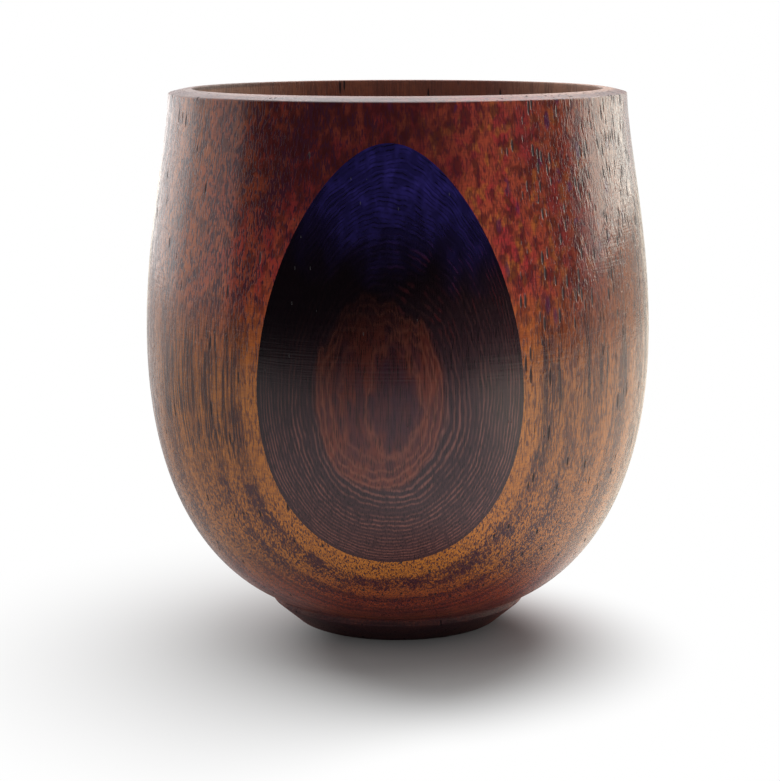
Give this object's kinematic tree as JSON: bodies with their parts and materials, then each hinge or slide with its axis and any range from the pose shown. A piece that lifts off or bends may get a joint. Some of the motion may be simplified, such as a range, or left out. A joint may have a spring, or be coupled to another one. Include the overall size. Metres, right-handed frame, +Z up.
{
  "type": "turned wooden mate cup",
  "caption": "Barrel-shaped turned wooden cup on a low flared foot, with an egg-shaped face of dark wood laminated into its front, for drinking mate or tea.",
  "frame": {"origin": "on the turning axis, at the underside of the foot ring that stands on the table", "axes": "+Z up along the turning axis, -Y out of the front where the dark face is, +X to the right seen from the front"},
  "size_m": [0.08, 0.08, 0.0853],
  "materials": {
    "red_wood": "open-pored reddish-brown hardwood under a semi-gloss lacquer",
    "dark_wood": "near-black fine-ringed hardwood with a reddish heart under the same semi-gloss lacquer"
  },
  "bodies": {
    "root": {"cup_body": "red_wood", "dark_face": "dark_wood"}
  },
  "joints": []
}
